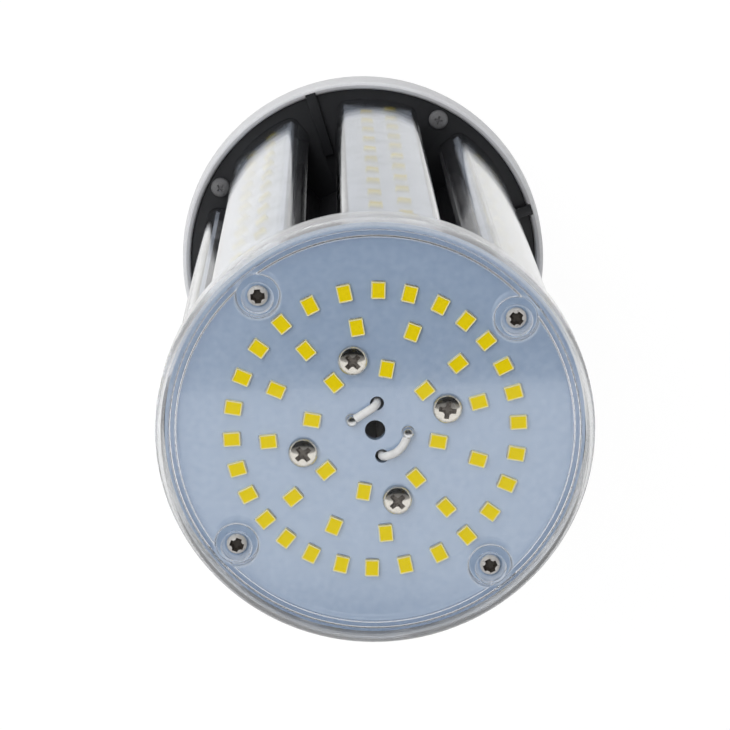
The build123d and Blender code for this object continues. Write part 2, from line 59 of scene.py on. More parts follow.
def reach_of(node):
    """The largest radius of a turned solid about the lamp's axis."""
    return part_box(node)[1].x / mm


# Heights and radii that the solids give
contact_tip_z = height_of("center_contact", 0)
shell_end_z = height_of("screw_shell", 0)
rim_z = height_of("driver_housing", 1)
plate_z = height_of("heat_sink", 0)
lit_end_z = height_of("heat_sink", 1)
disc_front_z = height_of("led_disc", 1)
led_top_z = height_of("disc_leds", 1)
cap_skirt_z = height_of("front_cap", 0)
cap_top_z = height_of("front_cap", 1)
board_top_z = height_of("driver_board", 1)
holder_low_z = height_of("shell_holder", 0)
holder_top_z = height_of("shell_holder", 1)
cap_radius = reach_of("front_cap")
housing_radius = reach_of("driver_housing")
shell_radius = reach_of("screw_shell")
contact_radius = reach_of("center_contact")
plate_radius = reach_of("mounting_plate")
disc_radius = reach_of("led_disc")

# Camera, from the picture: its side and focal length are in pixels
image_side_px = 730
focal_px = 2750
picture_turn = radians(39.8)
picture_right = Vector((cos(picture_turn), -sin(picture_turn), 0))
picture_up = Vector((sin(picture_turn), cos(picture_turn), 0))
camera_across = -9.1
camera_up = 131.7
camera_above = 491.85
aim_across = -1.89
aim_up = 12.55

# Studio: the floor and the softboxes in metres and watts, the cards in millimetres
floor_side = 12.0
floor_paint = 0.9
floor_rough = 0.9
floor_glow = 1.06
floor_glow_share = 0.85
soft_level = 0.45
backdrop_level = 1.0
softbox_side = 0.8
softboxes = (
    ("front_softbox", (-0.35, 0.3, 1.1), 8.0),
    ("back_softbox", (-0.5, 0.8, 0.5), 4.0),
    ("side_softbox", (0.3, -1.0, -0.1), 3.0),
)
card_above = 800
card_edge_slope = 0.2512
card_edge_on_cap = 9.8
card_depth = 4000
card_width = 5000
card_tilt = radians(1.4)
card_tones = ((0, 0.01), (95, 0.01), (140, 0.28), (380, 0.2), (560, 0.01), (4000, 0.01))
card_side_near = 55
card_side_far = 135
card_side_tone = 0.4
card_side_start = 110
card_side_end = 190
shade_width = 400
shade_near = -278
shade_far = -428
shade_level = 0.02
grey_card_width = 360
grey_card_near = 0
grey_card_far = 260
grey_card_level = 0.62
front_card_width = 180
front_card_near = 40
front_card_far = -250
front_card_level = 0.03
floor_card_lift = 1
card_fade = 0.7

# LED packages
led_length = 3.5
led_height = 0.75
led_body_length = 3.2
led_body_width = 2.65
led_draft = 0.97
led_rim = 0.16
led_dish_edge = 0.05
led_dish = 0.08
led_corner = 0.12
terminal_length = 0.4
terminal_width = 2.2
terminal_height = 0.3

# Rings of LEDs on the disc, in degrees, and the rows on the strips
outer_ring_radius = 26.6
outer_ring_half = (0, 11.5, 23.5, 36.5, 49, 62.5, 77, 90.5, 104, 117.5, 130.5, 143.5, 156, 167.5)
middle_ring_radius = 19.9
middle_ring = (0, 30, 60, 90, 117, 146, 180, 207.5, 236, 272, 304, 336)
inner_ring_radius = 11.9
inner_ring_quarter = (0, 40)
half_turns = (0, 180)
quarter_turns = (0, 90, 180, 270)
strip_front = 36.2
strip_pitch = 13.4
strip_row_count = 12
strip_row_spacing = 5.5

# Wires that feed the strips
feed_radius = 0.5
feed_spread = 2.75
feed_rise = 1.3
feed_spare = 0.1
feed_tip_steps = 6
feed_steps = 16

# Clear covers over the strips
cover_side = 9.7
cover_corner = 37.6
cover_sagitta = 1.7
cover_round = 2.6
cover_wall = 1.1
hook_back = 32.0
hook_tip = 7.45
cover_round_steps = 8
cover_crown_steps = 16

# Clear front cap
cap_wall = 1.2
cap_face = 1.4
cap_edge = 1.6
cap_edge_steps = 10
skirt_edge = 0.3
cap_rib_inner = 36.9
cap_rib_width = 1.2
cap_rib_depth = 1.9
rib_round = 0.55
rib_round_steps = 6
rib_fillet = 0.4
boss_circle = 33.6
boss_radius = 4.0
boss_bore_radius = 2.7
boss_floor = 1.0
boss_hole_radius = 1.2
boss_flare = 0.45
boss_flare_steps = 6
boss_edge = 0.25
boss_steps = 64
bore_chamfer = 0.3
bore_round = 0.35

# Screws: each recess is the length, width and depth of its arms, and spins are in degrees
disc_screw_circle = 14.0
housing_screw_circle = 38.6
machine_head = 2.8
machine_head_height = 1.9
machine_shank = 1.4
machine_length = 9.0
machine_recess = (4.2, 1.15, 1.1)
housing_head = 2.3
housing_head_height = 1.6
housing_recess = (2.6, 0.6, 0.6)
small_head = 1.9
small_head_height = 1.5
small_shank = 1.0
small_length = 9.0
small_recess = (3.4, 1.45, 1.1)
head_brim = 0.3
head_foot = 0.96
head_foot_lift = 0.3
dome_steps = 14
screw_steps = 64
screw_thread_start = 0.5
screw_thread_spare = 1.5
screw_pitch = 0.5
screw_root = 0.8
screw_tip = 0.5
recess_spare = 0.4
recess_taper = 0.5
recess_edge = 0.06
socket_foot = 0.35
socket_mouth = 0.95
socket_steps = 20
disc_screw_spins = (64, 28, 23, 26)
cap_screw_spins = (10, 55, 30, 75)
housing_screw_spins = (15, 70, 40, 0)

# Leads and solder joints on the disc: turns in degrees, and joints as a radius and a turn
lead_radius = 0.78
lead_ring_radius = 5.15
lead_lift = 0.1
lead_crest = 0.5
lead_straight = 3
lead_bend = 0.55
negative_bow = 1.6
lead_facets = 6
lead_steps = 8
positive_turn = 46.4
negative_turn = -115.2
positive_joint = (4.76, 115.6)
negative_joint = (6.11, -43.7)
joint_radius = 1.15
joint_height = 2.0
joint_belt = 0.85
joint_foot = 1.05
joint_waist = 0.9
joint_waist_height = 0.2
joint_entry = 0.6
joint_dome_steps = 12
joint_steps = 48

# Housing, mounting plate and shell holder
rim_lip = 1.5
rim_inner_radius = 41.5
rim_radius = 43.4
rim_inner_round = 1.35
rim_inner_steps = 8
rim_outer_round = 0.5
rim_outer_steps = 5
plate_thickness = 4.0
body_height = 6.0
housing_wall = 3.4
shoulder_radius = 30.0
shoulder_sweep = radians(60)
shoulder_steps = 24
inner_shoulder_steps = 16
neck_curve_radius = 10.0
neck_curve_steps = 12
neck_radius = 21.5
neck_height = 3.0
neck_edge = 0.4
neck_bore_radius = 18.9
holder_bore_radius = 15.8
holder_seat = 1.5
holder_spare = 0.15
holder_edge = 0.3
notch_width = 2.6
key_width = 2.4
key_start = 27.0
key_end = 42.3
notch_end = 42.45
key_edge = 0.2
plate_bore_radius = 8.0
plate_hole_radius = 1.6
hole_steps = 24

# Screw base
thread_length = 27.0
thread_pitch = 6.35
thread_depth = 1.3
thread_fade_in = 3
thread_fade_out = 2
thread_rows = 108
thread_steps = 120
shell_wall = 0.6
shell_end_radius = 14.6
insulator_plug_length = 2.5
insulator_bore_radius = 3.1
insulator_tip_radius = 8.5
insulator_edge = 0.35
plug_spare = 0.1
contact_height = 2.5
rivet_radius = 3.0
contact_edge = 1.2
contact_edge_steps = 6
contact_seat_edge = 0.2

# Meshes: steps, tolerances, the reach of cutting tools past a face, and crease angles in degrees
turn_steps = 160
edge_steps = 3
fine_edge_steps = 2
merge_gap = 0.001
ring_gap = 0.01
level_share = 0.999
cut_spare = 1
crease = 35
led_crease = 20
clear_crease = 40
housing_crease = 30
thread_crease = 50

# Finishes that share values: the housing's plastic, the painted shade on its inner lip, and clear plastic
housing_rough = (0.42, 0.55)
housing_grain = 0.5
housing_relief = 0.012
# Painted shade on the rim's inner lip: the face tilts at which it steps darker, and its tones
lip_shade_steps = (0.97, 0.75, 0.35)
painted_lip_shades = (0.46, 0.32, 0.16)
painted_lip_spread = 0.03
painted_lip_blue = 1.03
clear_grain = 6.0


# Modelling

def polar(radius, turn, height):
    """A point at a radius and a turn about the axis, in metres."""
    return Vector((radius * cos(turn), radius * sin(turn), height)) * mm


def arc(centre, radius, start, end, steps):
    """Points of an arc in a section, from one angle to another."""
    turns = [start + (end - start) * step / steps for step in range(steps + 1)]
    return [(centre[0] + radius * cos(turn), centre[1] + radius * sin(turn)) for turn in turns]


def turned(outline, closed=True, steps=turn_steps):
    """A shape turned about the axis from an outline of (radius, height) points."""
    shape = bmesh.new()
    points = [shape.verts.new((radius * mm, 0, height * mm)) for radius, height in outline]
    ends = points[1:] + points[:1] if closed else points[1:]
    edges = [shape.edges.new(pair) for pair in zip(points, ends)]
    bmesh.ops.spin(
        shape,
        geom=points + edges,
        cent=(0, 0, 0),
        axis=(0, 0, 1),
        angle=full_turn,
        steps=steps,
        use_merge=True,
    )
    bmesh.ops.remove_doubles(shape, verts=shape.verts, dist=merge_gap * mm)
    bmesh.ops.recalc_face_normals(shape, faces=shape.faces)
    return shape


def rounded(shape, edges, width, segments):
    """Round these edges of a shape."""
    bmesh.ops.bevel(
        shape,
        geom=edges,
        offset=width * mm,
        offset_type="OFFSET",
        affect="EDGES",
        segments=segments,
        profile=0.5,
        material=-1,
    )


def add_block(shape, length, width, height, place):
    """Add a box of this size with its middle at a place, and return its corners."""
    size = Matrix.Diagonal((length * mm, width * mm, height * mm, 1))
    return bmesh.ops.create_cube(shape, size=1, matrix=place @ size)["verts"]


def soften(shape, rings, width, segments=4):
    """Round the ring edges that run through these (radius, height) points."""
    def on_ring(vert):
        radius = vert.co.xy.length / mm
        height = vert.co.z / mm
        return any(abs(radius - ring[0]) < ring_gap and abs(height - ring[1]) < ring_gap for ring in rings)

    edges = [edge for edge in shape.edges if all(on_ring(vert) for vert in edge.verts)]
    edges = [edge for edge in edges if abs(edge.verts[0].co.z - edge.verts[1].co.z) < merge_gap * mm]
    rounded(shape, edges, width, segments)


def combined(shape, tool, operation):
    """The union or difference of two closed shapes."""
    solids = []
    for each in (shape, tool):
        mesh = bpy.data.meshes.new("blank")
        each.to_mesh(mesh)
        each.free()
        solids.append(bpy.data.objects.new("blank", mesh))
        bpy.context.scene.collection.objects.link(solids[-1])
    step = solids[0].modifiers.new("cut", "BOOLEAN")
    step.operation = operation
    step.solver = "EXACT"
    step.object = solids[1]
    result = bmesh.new()
    result.from_object(solids[0], bpy.context.evaluated_depsgraph_get())
    for solid in solids:
        mesh = solid.data
        bpy.data.objects.remove(solid)
        bpy.data.meshes.remove(mesh)
    return result


def repeated(shape, places):
    """Copies of one shape at each of these places, as one shape."""
    mesh = bpy.data.meshes.new("copy")
    shape.to_mesh(mesh)
    shape.free()
    group = bmesh.new()
    for place in places:
        first = len(group.verts)
        group.from_mesh(mesh)
        group.verts.ensure_lookup_table()
        bmesh.ops.transform(group, matrix=place, verts=group.verts[first:])
    bpy.data.meshes.remove(mesh)
    return group


def on_circle(radius, height, start_turn):
    """Places on a circle about the axis, one to every second column."""
    return [
        Matrix.Rotation(start_turn + number * fastener_turn, 4, "Z")
        @ Matrix.Translation(Vector((radius, 0, height)) * mm)
        for number in range(fastener_count)
    ]


def lamp_piece(name, shape, finishes, nodes, sharp=crease):
    """One finished piece that rides on the lamp, in place of the solids that it stands for."""
    mesh = bpy.data.meshes.new(name)
    shape.to_mesh(mesh)
    shape.free()
    mesh.shade_smooth()
    mesh.set_sharp_from_angle(angle=radians(sharp))
    for finish in finishes:
        mesh.materials.append(finish)
    piece = bpy.data.objects.new(name, mesh)
    bpy.context.scene.collection.objects.link(piece)
    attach(piece, "root")
    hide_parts(*nodes)
    return piece


# Finishes

def new_finish(name):
    """A material and its surface shader."""
    finish = bpy.data.materials.new(name)
    finish.use_nodes = True
    return finish, finish.node_tree.nodes["Principled BSDF"]


def grain(finish, size, stretch=(1, 1, 1), detail=3.0):
    """Noise over the piece, with features of about this size in millimetres."""
    nodes, links = finish.node_tree.nodes, finish.node_tree.links
    place = nodes.new("ShaderNodeTexCoord")
    mapping = nodes.new("ShaderNodeMapping")
    mapping.inputs["Scale"].default_value = stretch
    noise = nodes.new("ShaderNodeTexNoise")
    noise.inputs["Scale"].default_value = 1 / (size * mm)
    noise.inputs["Detail"].default_value = detail
    links.new(place.outputs["Object"], mapping.inputs["Vector"])
    links.new(mapping.outputs["Vector"], noise.inputs["Vector"])
    return noise.outputs["Fac"]


def ranged(finish, source, socket, low, high, start=0.3, end=0.7):
    """Feed a socket with a value that follows a source, such as the grain."""
    nodes, links = finish.node_tree.nodes, finish.node_tree.links
    spread = nodes.new("ShaderNodeMapRange")
    spread.inputs["From Min"].default_value = start
    spread.inputs["From Max"].default_value = end
    spread.inputs["To Min"].default_value = low
    spread.inputs["To Max"].default_value = high
    links.new(source, spread.inputs["Value"])
    links.new(spread.outputs["Result"], socket)


def tinted(finish, shader, source, dark, light, start=0.3, end=0.7):
    """A base colour that follows the grain from one tone to another."""
    nodes, links = finish.node_tree.nodes, finish.node_tree.links
    ramp = nodes.new("ShaderNodeValToRGB")
    ramp.color_ramp.elements[0].position = start
    ramp.color_ramp.elements[0].color = (*dark, 1)
    ramp.color_ramp.elements[1].position = end
    ramp.color_ramp.elements[1].color = (*light, 1)
    links.new(source, ramp.inputs["Fac"])
    links.new(ramp.outputs["Color"], shader.inputs["Base Color"])


def raised(finish, shader, source, depth):
    """A fine relief of this depth in millimetres."""
    nodes, links = finish.node_tree.nodes, finish.node_tree.links
    bump = nodes.new("ShaderNodeBump")
    bump.inputs["Distance"].default_value = depth * mm
    links.new(source, bump.inputs["Height"])
    links.new(bump.outputs["Normal"], shader.inputs["Normal"])


def worked_out(tree, operation, *values):
    """A value worked out from sockets or numbers."""
    node = tree.nodes.new("ShaderNodeMath")
    node.operation = operation
    for socket, value in zip(node.inputs, values):
        if isinstance(value, bpy.types.NodeSocket):
            tree.links.new(value, socket)
        else:
            socket.default_value = value
    return node.outputs["Value"]


def show(tree, share, first, second, output="Material Output"):
    """Send one shader to the output, and another in its place by this share."""
    mix = tree.nodes.new("ShaderNodeMixShader")
    tree.links.new(share, mix.inputs["Fac"])
    tree.links.new(first.outputs[0], mix.inputs[1])
    tree.links.new(second.outputs[0], mix.inputs[2])
    tree.links.new(mix.outputs["Shader"], tree.nodes[output].inputs["Surface"])


def plain_finish(name, dark, light, rough, size, depth, metal=0.0, stretch=(1, 1, 1), gloss=0.5):
    """A finish with its grain in the colour, the roughness and a fine relief."""
    finish, shader = new_finish(name)
    shader.inputs["Metallic"].default_value = metal
    shader.inputs["Specular IOR Level"].default_value = gloss
    source = grain(finish, size, stretch)
    tinted(finish, shader, source, dark, light)
    ranged(finish, source, shader.inputs["Roughness"], *rough)
    raised(finish, shader, source, depth)
    return finish


def clear_finish(name, tint, rough, index, haze=0.0):
    """Clear moulded plastic, which lets the studio's light through to what it covers."""
    finish, shader = new_finish(name)
    tree = finish.node_tree
    shader.inputs["Base Color"].default_value = (*tint, 1)
    shader.inputs["Transmission Weight"].default_value = 1.0 - haze
    shader.inputs["IOR"].default_value = index
    ranged(finish, grain(finish, clear_grain), shader.inputs["Roughness"], *rough)
    rays = tree.nodes.new("ShaderNodeLightPath").outputs
    lets_through = worked_out(tree, "MAXIMUM", rays["Is Shadow Ray"], rays["Is Diffuse Ray"])
    clear = tree.nodes.new("ShaderNodeBsdfTransparent")
    clear.inputs["Color"].default_value = (*tint, 1)
    show(tree, lets_through, shader, clear)
    return finish


def painted_shade_lip_finish(number, shade):
    """The housing's plastic darkened as painted shade, for one part of the rim's inner lip."""
    light = shade + painted_lip_spread
    return plain_finish(
        f"rim lip painted shade {number}",
        (shade, shade, shade * painted_lip_blue),
        (light, light, light * painted_lip_blue),
        rough=housing_rough,
        size=housing_grain,
        depth=housing_relief,
    )


plated_shell = plain_finish(
    "plated shell", (0.62, 0.605, 0.575), (0.68, 0.665, 0.635),
    rough=(0.2, 0.27), size=4.0, depth=0.002, metal=1.0,
)
black_insulator = plain_finish(
    "black insulator", (0.010, 0.010, 0.012), (0.018, 0.018, 0.02),
    rough=(0.12, 0.25), size=2.0, depth=0.02,
)
contact_metal = plain_finish(
    "contact metal", (0.6, 0.52, 0.38), (0.68, 0.60, 0.45),
    rough=(0.24, 0.34), size=2.0, depth=0.002, metal=1.0,
)
housing_plastic = plain_finish(
    "housing plastic", (0.64, 0.643, 0.66), (0.68, 0.683, 0.70),
    rough=housing_rough, size=housing_grain, depth=housing_relief,
)
# Darker copies of the housing's plastic: painted shade for the rim's inner lip
painted_shade_lip_finishes = [painted_shade_lip_finish(number, shade) for number, shade in enumerate(painted_lip_shades, 1)]
dark_plate = plain_finish(
    "dark plate", (0.012, 0.0125, 0.0145), (0.018, 0.0185, 0.021), rough=(0.45, 0.6), size=0.8, depth=0.01
)
black_heat_sink = plain_finish(
    "black heat sink", (0.034, 0.034, 0.039), (0.052, 0.052, 0.058),
    rough=(0.34, 0.5), size=0.6, depth=0.008, metal=0.3, stretch=(1, 1, 0.02),
)
steel_screw = plain_finish(
    "steel screw", (0.14, 0.14, 0.145), (0.19, 0.19, 0.195),
    rough=(0.5, 0.65), size=0.4, depth=0.004, metal=0.3,
)
bright_screw = plain_finish(
    "bright screw", (0.72, 0.68, 0.61), (0.80, 0.76, 0.69),
    rough=(0.1, 0.16), size=0.8, depth=0.002, metal=1.0,
)
cap_screw_metal = plain_finish(
    "cap screw metal", (0.55, 0.53, 0.505), (0.61, 0.59, 0.565),
    rough=(0.26, 0.34), size=0.8, depth=0.002, metal=0.4,
)
# Painted shade in the screws' cross recesses, darker still for the cap screws
painted_recess_shade = plain_finish(
    "painted recess shade", (0.10, 0.088, 0.075), (0.16, 0.14, 0.12),
    rough=(0.4, 0.6), size=0.3, depth=0.01, gloss=0.3,
)
deep_recess_painted_shade = plain_finish(
    "deep recess painted shade", (0.02, 0.017, 0.014), (0.05, 0.042, 0.035),
    rough=(0.4, 0.6), size=0.3, depth=0.01, gloss=0.3,
)
pale_board = plain_finish(
    "pale board", (0.275, 0.352, 0.475), (0.31, 0.388, 0.51),
    rough=(0.05, 0.09), size=1.2, depth=0.001, gloss=1.75,
)
strip_mask = plain_finish(
    "strip board mask", (0.62, 0.675, 0.78), (0.68, 0.735, 0.84),
    rough=(0.35, 0.45), size=1.2, depth=0.004,
)
led_frame = plain_finish(
    "led frame", (0.66, 0.60, 0.30), (0.73, 0.67, 0.37),
    rough=(0.4, 0.5), size=0.4, depth=0.004, gloss=0.3,
)
led_phosphor = plain_finish(
    "led phosphor", (0.66, 0.50, 0.002), (0.72, 0.565, 0.006),
    rough=(0.45, 0.6), size=0.35, depth=0.01, gloss=0.04,
)
tin_terminal = plain_finish(
    "tin terminal", (0.55, 0.55, 0.54), (0.68, 0.68, 0.66),
    rough=(0.25, 0.4), size=0.3, depth=0.004, metal=1.0,
)
white_wire = plain_finish(
    "white wire", (0.60, 0.59, 0.575), (0.68, 0.67, 0.655), rough=(0.3, 0.42), size=0.9, depth=0.006
)
solder = plain_finish(
    "solder", (0.66, 0.66, 0.66), (0.80, 0.80, 0.80), rough=(0.14, 0.26), size=0.5, depth=0.05, metal=1.0
)
clear_cap = clear_finish("clear cap", (0.98, 0.985, 0.99), rough=(0.0, 0.02), index=1.2)
# The rib's plastic is tinted darker than the cap's, a painted shade that shows its walls as darker lines.
shade_tinted_clear_rib = clear_finish("shade tinted clear cap rib", (0.80, 0.825, 0.87), rough=(0.07, 0.13), index=1.49)
clear_boss = clear_finish("clear cap boss", (0.95, 0.958, 0.97), rough=(0.1, 0.2), index=1.4, haze=0.16)
milky_edge = clear_finish("milky cap edge", (0.90, 0.905, 0.91), rough=(0.12, 0.22), index=1.4, haze=0.14)
clear_cover = clear_finish("clear cover", (0.97, 0.975, 0.98), rough=(0.03, 0.08), index=1.49)
driver_laminate = plain_finish(
    "driver laminate", (0.02, 0.12, 0.045), (0.03, 0.16, 0.06), rough=(0.3, 0.45), size=1.0, depth=0.01
)
ferrite = plain_finish(
    "ferrite", (0.03, 0.03, 0.032), (0.05, 0.05, 0.052), rough=(0.55, 0.75), size=0.5, depth=0.03
)
capacitor_sleeve = plain_finish(
    "capacitor sleeve", (0.01, 0.013, 0.03), (0.018, 0.022, 0.045),
    rough=(0.2, 0.3), size=1.5, depth=0.006,
)
film_case = plain_finish(
    "film case", (0.5, 0.28, 0.03), (0.6, 0.35, 0.05), rough=(0.25, 0.4), size=1.0, depth=0.01
)
black_epoxy = plain_finish(
    "black epoxy", (0.012, 0.012, 0.012), (0.02, 0.02, 0.02), rough=(0.5, 0.65), size=0.4, depth=0.01
)
varistor_coat = plain_finish(
    "varistor coat", (0.02, 0.09, 0.3), (0.03, 0.12, 0.38), rough=(0.3, 0.45), size=0.8, depth=0.02
)
fuse_glass = plain_finish(
    "fuse glass", (0.6, 0.62, 0.62), (0.7, 0.72, 0.72), rough=(0.05, 0.12), size=1.0, depth=0.004
)


def dress(finish, *nodes):
    """Give solids that show as they are a finish."""
    for node in nodes:
        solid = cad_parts[node]
        for slot in solid.material_slots:
            slot.material = finish


dress(black_heat_sink, "heat_sink")
dress(steel_screw, "heat_sink_screws", "board_screws")
dress(pale_board, "led_disc")
dress(driver_laminate, "driver_board")
dress(white_wire, "live_lead", "neutral_lead")
dress(ferrite, "transformer", "filter_choke")
dress(capacitor_sleeve, "bulk_capacitor", "output_capacitor")
dress(film_case, "film_capacitor")
dress(black_epoxy, "bridge_rectifier", "power_transistor")
dress(varistor_coat, "varistor")
dress(fuse_glass, "fuse")
for number in range(1, column_count + 1):
    dress(strip_mask, f"strip_board_{number}")


# LEDs: a cream frame with a dished yellow window and a tinned terminal at each end

led_finishes = [led_frame, led_phosphor, tin_terminal]


def led_package():
    """One LED on its foot at the origin, with its long side along x."""
    package = bmesh.new()
    half_height = led_height * mm / 2
    add_block(package, led_body_length, led_body_width, led_height, Matrix.Translation((0, 0, half_height)))
    uprights = [edge for edge in package.edges if abs(edge.verts[0].co.z - edge.verts[1].co.z) > half_height]
    rounded(package, uprights, led_corner, 1)
    window = max(package.faces, key=lambda face: face.calc_center_median().z)
    bmesh.ops.scale(package, vec=(led_draft, led_draft, 1), verts=window.verts)
    bmesh.ops.inset_individual(package, faces=[window], thickness=led_rim * mm, depth=0)
    bmesh.ops.inset_individual(package, faces=[window], thickness=led_dish_edge * mm, depth=-led_dish * mm)
    window.material_index = led_finishes.index(led_phosphor)
    for side in (-1, 1):
        middle = Vector((side * (led_length - terminal_length) / 2, 0, terminal_height / 2)) * mm
        place = Matrix.Translation(middle)
        corners = add_block(package, terminal_length, terminal_width, terminal_height, place)
        for face in {face for vert in corners for face in vert.link_faces}:
            face.material_index = led_finishes.index(tin_terminal)
    return package


def led_place(radius, turn):
    """The place of one LED on the disc, with its long side along the radius."""
    spot = Matrix.Translation(Vector((radius, 0, disc_front_z)) * mm)
    return Matrix.Rotation(radians(turn), 4, "Z") @ spot


disc_places = [led_place(outer_ring_radius, start + turn) for start in half_turns for turn in outer_ring_half]
disc_places += [led_place(middle_ring_radius, turn) for turn in middle_ring]
disc_places += [
    led_place(inner_ring_radius, start + turn) for start in quarter_turns for turn in inner_ring_quarter
]
lamp_piece(
    "disc_led_packages",
    repeated(led_package(), disc_places),
    led_finishes,
    ["disc_leds"],
    led_crease,
)

strip_middle_z = (plate_z + lit_end_z) / 2
rows = [(-1, row - (strip_row_count - 1) / 2) for row in range(strip_row_count)]
rows += [(1, row - (strip_row_count - 2) / 2) for row in range(strip_row_count - 1)]
spots = [
    Vector((strip_front, side * strip_row_spacing / 2, strip_middle_z + row * strip_pitch)) * mm
    for side, row in rows
]
on_strip = Matrix.Rotation(pi / 2, 4, "Y") @ Matrix.Rotation(pi, 4, "Z")
for number in range(column_count):
    column = Matrix.Rotation(number * column_turn, 4, "Z")
    places = [column @ Matrix.Translation(spot) @ on_strip for spot in spots]
    lamp_piece(
        f"strip_{number + 1}_led_packages",
        repeated(led_package(), places),
        led_finishes,
        [f"strip_leds_{number + 1}"],
        led_crease,
    )


# Clear covers: a crowned face, rounded corners, sides and the hooks in the grooves

def cover_outline():
    """Points of a cover's outside, in (radial, across), from one hook to the other."""
    crown_radius = (cover_side**2 + cover_sagitta**2) / (2 * cover_sagitta)
    crown_centre = cover_corner + cover_sagitta - crown_radius
    round_across = cover_side - cover_round
    round_radial = crown_centre + sqrt((crown_radius - cover_round) ** 2 - round_across**2)
    lean = asin(round_across / (crown_radius - cover_round))
    points = [(hook_back, -hook_tip), (hook_back, -cover_side)]
    points += arc((round_radial, -round_across), cover_round, -pi / 2, -lean, cover_round_steps)
    points += arc((crown_centre, 0), crown_radius, -lean, lean, cover_crown_steps)[1:-1]
    points += arc((round_radial, round_across), cover_round, lean, pi / 2, cover_round_steps)
    points += [(hook_back, cover_side), (hook_back, hook_tip)]
    return points


def strip_cover():
    """One cover over the column on +X."""
    cover = bmesh.new()
    points = [cover.verts.new(Vector((radial, across, plate_z)) * mm) for radial, across in cover_outline()]
    edges = [cover.edges.new(pair) for pair in zip(points, points[1:])]
    sheet = bmesh.ops.extrude_edge_only(cover, edges=edges)
    far_end = [part for part in sheet["geom"] if isinstance(part, bmesh.types.BMVert)]
    bmesh.ops.translate(cover, vec=(0, 0, (lit_end_z - plate_z) * mm), verts=far_end)
    bmesh.ops.recalc_face_normals(cover, faces=cover.faces)
    if max(cover.faces, key=lambda face: face.calc_center_median().x).normal.x < 0:
        bmesh.ops.reverse_faces(cover, faces=cover.faces)
    bmesh.ops.solidify(cover, geom=cover.faces[:], thickness=cover_wall * mm)
    return cover


for number in range(column_count):
    turn = Matrix.Rotation(number * column_turn, 4, "Z")
    lamp_piece(
        f"clear_cover_{number + 1}",
        repeated(strip_cover(), [turn]),
        [clear_cover],
        [f"strip_cover_{number + 1}"],
        clear_crease,
    )


# Clear front cap: a flat face with a rounded edge, a skirt, a rib and four counterbored bosses

cap_finishes = [clear_cap, milky_edge, shade_tinted_clear_rib, clear_boss]


def front_cap():
    """The cap with its bosses bored, and its edge, rib and bosses marked for their own finishes."""
    inner = cap_radius - cap_wall
    under = cap_top_z - cap_face
    rib_outer = cap_rib_inner + cap_rib_width
    rib_end = under - cap_rib_depth
    shape = turned(
        [
            (0, cap_top_z),
            (disc_radius, cap_top_z),
            (cap_radius, cap_top_z),
            (cap_radius, cap_skirt_z),
            (inner, cap_skirt_z),
            (inner, under),
            (disc_radius, under),
            (rib_outer, under),
            (rib_outer, rib_end),
            (cap_rib_inner, rib_end),
            (cap_rib_inner, under),
            (0, under),
        ],
        closed=False,
    )
    soften(shape, [(cap_radius, cap_top_z)], cap_edge, cap_edge_steps)
    soften(shape, [(cap_radius, cap_skirt_z), (inner, cap_skirt_z)], skirt_edge, edge_steps)
    soften(shape, [(rib_outer, rib_end), (cap_rib_inner, rib_end)], rib_round, rib_round_steps)
    soften(shape, [(rib_outer, under), (cap_rib_inner, under)], rib_fillet)
    flare_radius = boss_radius + boss_flare
    boss = turned(
        [(0, under + cap_face / 2), (flare_radius, under + cap_face / 2)]
        + arc((flare_radius, under - boss_flare), boss_flare, pi / 2, pi, boss_flare_steps)
        + [(boss_radius, disc_front_z), (0, disc_front_z)],
        closed=False,
        steps=boss_steps,
    )
    soften(boss, [(boss_radius, disc_front_z)], boss_edge, edge_steps)
    places = on_circle(boss_circle, 0, 0)
    shape = combined(shape, repeated(boss, places), "UNION")
    seat = disc_front_z + boss_floor
    bore = turned(
        [
            (0, cap_top_z + cut_spare),
            (boss_bore_radius + bore_chamfer + cut_spare, cap_top_z + cut_spare),
            (boss_bore_radius, cap_top_z - bore_chamfer),
            (boss_bore_radius, seat),
            (boss_hole_radius, seat),
            (boss_hole_radius, disc_front_z - cut_spare),
            (0, disc_front_z - cut_spare),
        ],
        closed=False,
        steps=boss_steps,
    )
    soften(bore, [(boss_bore_radius, seat)], bore_round)
    shape = combined(shape, repeated(bore, places), "DIFFERENCE")
    boss_middles = [place.translation.xy / mm for place in places]
    for face in shape.faces:
        middle = face.calc_center_median() / mm
        if middle.xy.length > disc_radius:
            face.material_index = cap_finishes.index(milky_edge)
        # The rib's walls take the darker tinted plastic, a painted shade.
        elif abs(face.normal.z) < level_share:
            on_boss = any((middle.xy - spot).length < flare_radius for spot in boss_middles)
            face.material_index = cap_finishes.index(clear_boss if on_boss else shade_tinted_clear_rib)
    return shape


cap = lamp_piece("clear_front_cap", front_cap(), cap_finishes, ["front_cap"], clear_crease)
even = cap.modifiers.new("even", "WEIGHTED_NORMAL")
even.keep_sharp = True


# Screws: a domed head with a cross recess, on a shank with a rolled thread

def cross_arm(turn, head_height, wing_length, wing_width, wing_depth):
    """A tapered blade that cuts one arm of a cross recess."""
    blade = bmesh.new()
    middle = Matrix.Translation((0, 0, (head_height + (recess_spare - wing_depth) / 2) * mm))
    place = middle @ Matrix.Rotation(turn, 4, "Z")
    add_block(blade, wing_length, wing_width, wing_depth + recess_spare, place)
    foot = sorted(blade.verts, key=lambda vert: vert.co.z)[:4]
    bmesh.ops.scale(blade, vec=(recess_taper, recess_taper, 1), verts=foot)
    return blade


def dome_height(radius, head, head_height):
    """Height of a head's domed top at a radius."""
    brim = head_height * head_brim
    return brim + (head_height - brim) * sqrt(max(0, 1 - (radius / head) ** 2))


